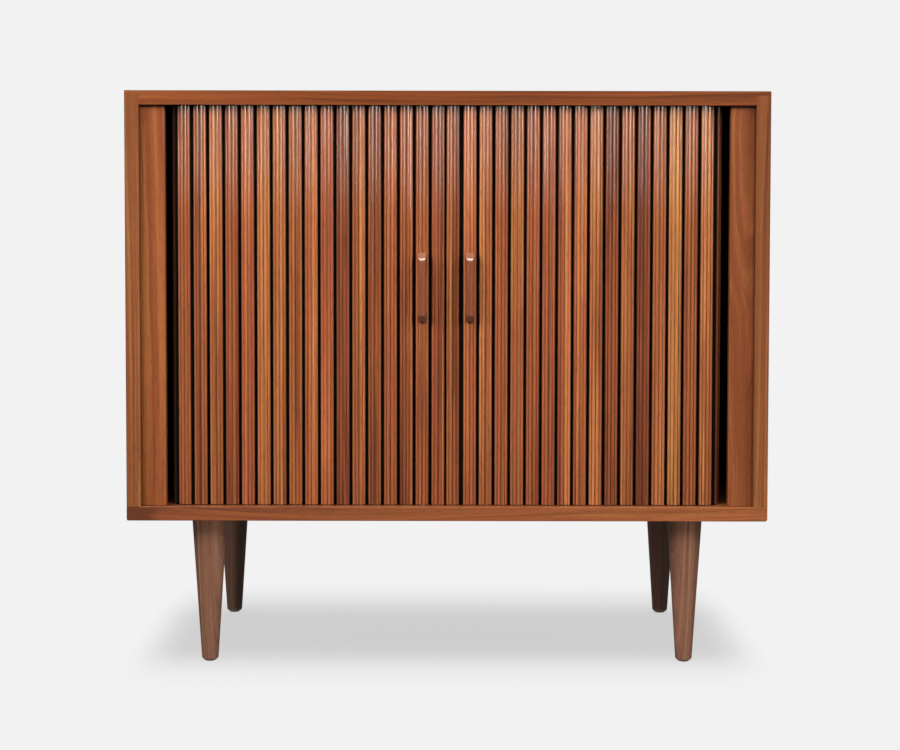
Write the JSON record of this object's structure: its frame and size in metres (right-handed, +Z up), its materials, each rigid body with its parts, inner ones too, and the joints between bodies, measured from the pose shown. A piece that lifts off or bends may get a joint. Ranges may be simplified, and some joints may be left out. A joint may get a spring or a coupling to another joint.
{
  "type": "tambour door cabinet",
  "caption": "Low wooden cabinet on turned tapered legs, with slatted tambour doors that slide round the front corners into side pockets; shelf inside.",
  "frame": {"origin": "on the floor, under the middle of the bounding box", "axes": "+Z up, the front with the doors faces -Y, +X to the right seen from the front"},
  "size_m": [0.914, 0.463, 0.828],
  "materials": {
    "case_wood": "satin oiled hardwood, straight grain",
    "jamb_wood": "satin oiled hardwood",
    "slat_wood": "satin lacquered hardwood",
    "handle_wood": "polished hardwood",
    "leg_wood": "satin lacquered hardwood, darker than the case",
    "liner_wood": "satin veneer",
    "back_wood": "matt veneer",
    "plate_steel": "black lacquered steel",
    "glide_plastic": "matt plastic"
  },
  "bodies": {
    "case": {"top_panel": "case_wood", "bottom_panel": "case_wood", "left_side_panel": "case_wood", "right_side_panel": "case_wood", "back_panel": "back_wood", "left_jamb_strip": "jamb_wood", "right_jamb_strip": "jamb_wood", "left_liner": "liner_wood", "right_liner": "liner_wood", "shelf": "liner_wood", "front_left_leg": "leg_wood", "front_left_leg_plate": "plate_steel", "front_left_foot_glide": "glide_plastic", "front_right_leg": "leg_wood", "front_right_leg_plate": "plate_steel", "front_right_foot_glide": "glide_plastic", "back_left_leg": "leg_wood", "back_left_leg_plate": "plate_steel", "back_left_foot_glide": "glide_plastic", "back_right_leg": "leg_wood", "back_right_leg_plate": "plate_steel", "back_right_foot_glide": "glide_plastic"},
    "left_lead": {"left_slat_01": "slat_wood", "left_slat_02": "slat_wood", "left_handle": "handle_wood"},
    "left_turn_slat": {"left_slat_03": "slat_wood"},
    "left_front_run": {"left_slat_04": "slat_wood", "left_slat_05": "slat_wood", "left_slat_06": "slat_wood", "left_slat_07": "slat_wood", "left_slat_08": "slat_wood", "left_slat_09": "slat_wood", "left_slat_10": "slat_wood"},
    "left_back_run": {"left_slat_11": "slat_wood", "left_slat_12": "slat_wood", "left_slat_13": "slat_wood", "left_slat_14": "slat_wood", "left_slat_15": "slat_wood", "left_slat_16": "slat_wood", "left_slat_17": "slat_wood"},
    "left_tail": {"left_slat_18": "slat_wood"},
    "right_lead": {"right_slat_01": "slat_wood", "right_slat_02": "slat_wood", "right_handle": "handle_wood"},
    "right_turn_slat": {"right_slat_03": "slat_wood"},
    "right_front_run": {"right_slat_04": "slat_wood", "right_slat_05": "slat_wood", "right_slat_06": "slat_wood", "right_slat_07": "slat_wood", "right_slat_08": "slat_wood", "right_slat_09": "slat_wood", "right_slat_10": "slat_wood"},
    "right_back_run": {"right_slat_11": "slat_wood", "right_slat_12": "slat_wood", "right_slat_13": "slat_wood", "right_slat_14": "slat_wood", "right_slat_15": "slat_wood", "right_slat_16": "slat_wood", "right_slat_17": "slat_wood"},
    "right_tail": {"right_slat_18": "slat_wood"}
  },
  "joints": [
    {"name": "left_door_slide", "type": "slide", "parent": "case", "child": "left_lead", "axis": [-1, 0, 0], "range_m": [0, 0.339]},
    {"name": "right_door_slide", "type": "slide", "parent": "case", "child": "right_lead", "axis": [1, 0, 0], "range_m": [0, 0.3375]},
    {"name": "left_tail_slide", "type": "slide", "parent": "case", "child": "left_tail", "axis": [0, 1, 0], "range_m": [0, 0.339]},
    {"name": "left_turn_slat_swing", "type": "hinge", "parent": "left_lead", "child": "left_turn_slat", "pos_m": [-0.04516, -0.20457, 0.5], "axis": [0, 0, -1], "range_deg": [0, 76.2], "deforming": ["left_slat_03"]},
    {"name": "left_front_run_swing", "type": "hinge", "parent": "left_lead", "child": "left_front_run", "pos_m": [-0.04771, -0.20321, 0.5], "axis": [0, 0, -1], "range_deg": [0, 90], "deforming": ["left_slat_04", "left_slat_05", "left_slat_06", "left_slat_07", "left_slat_08", "left_slat_09", "left_slat_10"]},
    {"name": "left_back_run_swing", "type": "hinge", "parent": "left_tail", "child": "left_back_run", "pos_m": [-0.38671, -0.20321, 0.5], "axis": [0, 0, -1], "range_deg": [0, 90], "deforming": ["left_slat_11", "left_slat_12", "left_slat_13", "left_slat_14", "left_slat_15", "left_slat_16", "left_slat_17"]},
    {"name": "right_tail_slide", "type": "slide", "parent": "case", "child": "right_tail", "axis": [0, 1, 0], "range_m": [0, 0.3375]},
    {"name": "right_turn_slat_swing", "type": "hinge", "parent": "right_lead", "child": "right_turn_slat", "pos_m": [0.04234, -0.20515, 0.5], "axis": [0, 0, 1], "range_deg": [0, 68.75], "deforming": ["right_slat_03"]},
    {"name": "right_front_run_swing", "type": "hinge", "parent": "right_lead", "child": "right_front_run", "pos_m": [0.04621, -0.20321, 0.5], "axis": [0, 0, 1], "range_deg": [0, 90], "deforming": ["right_slat_04", "right_slat_05", "right_slat_06", "right_slat_07", "right_slat_08", "right_slat_09", "right_slat_10"]},
    {"name": "right_back_run_swing", "type": "hinge", "parent": "right_tail", "child": "right_back_run", "pos_m": [0.38371, -0.20321, 0.5], "axis": [0, 0, 1], "range_deg": [0, 90], "deforming": ["right_slat_11", "right_slat_12", "right_slat_13", "right_slat_14", "right_slat_15", "right_slat_16", "right_slat_17"]}
  ],
  "couplings": [
    {"joint": "left_tail_slide", "follows": "left_door_slide", "ratio": 1},
    {"joint": "left_turn_slat_swing", "follows": "left_door_slide", "rad_per_m": 3.9233},
    {"joint": "left_front_run_swing", "follows": "left_door_slide", "rad_per_m": 4.6336},
    {"joint": "left_back_run_swing", "follows": "left_door_slide", "rad_per_m": 4.6336},
    {"joint": "right_tail_slide", "follows": "right_door_slide", "ratio": 1},
    {"joint": "right_turn_slat_swing", "follows": "right_door_slide", "rad_per_m": 3.5556},
    {"joint": "right_front_run_swing", "follows": "right_door_slide", "rad_per_m": 4.6542},
    {"joint": "right_back_run_swing", "follows": "right_door_slide", "rad_per_m": 4.6542}
  ]
}
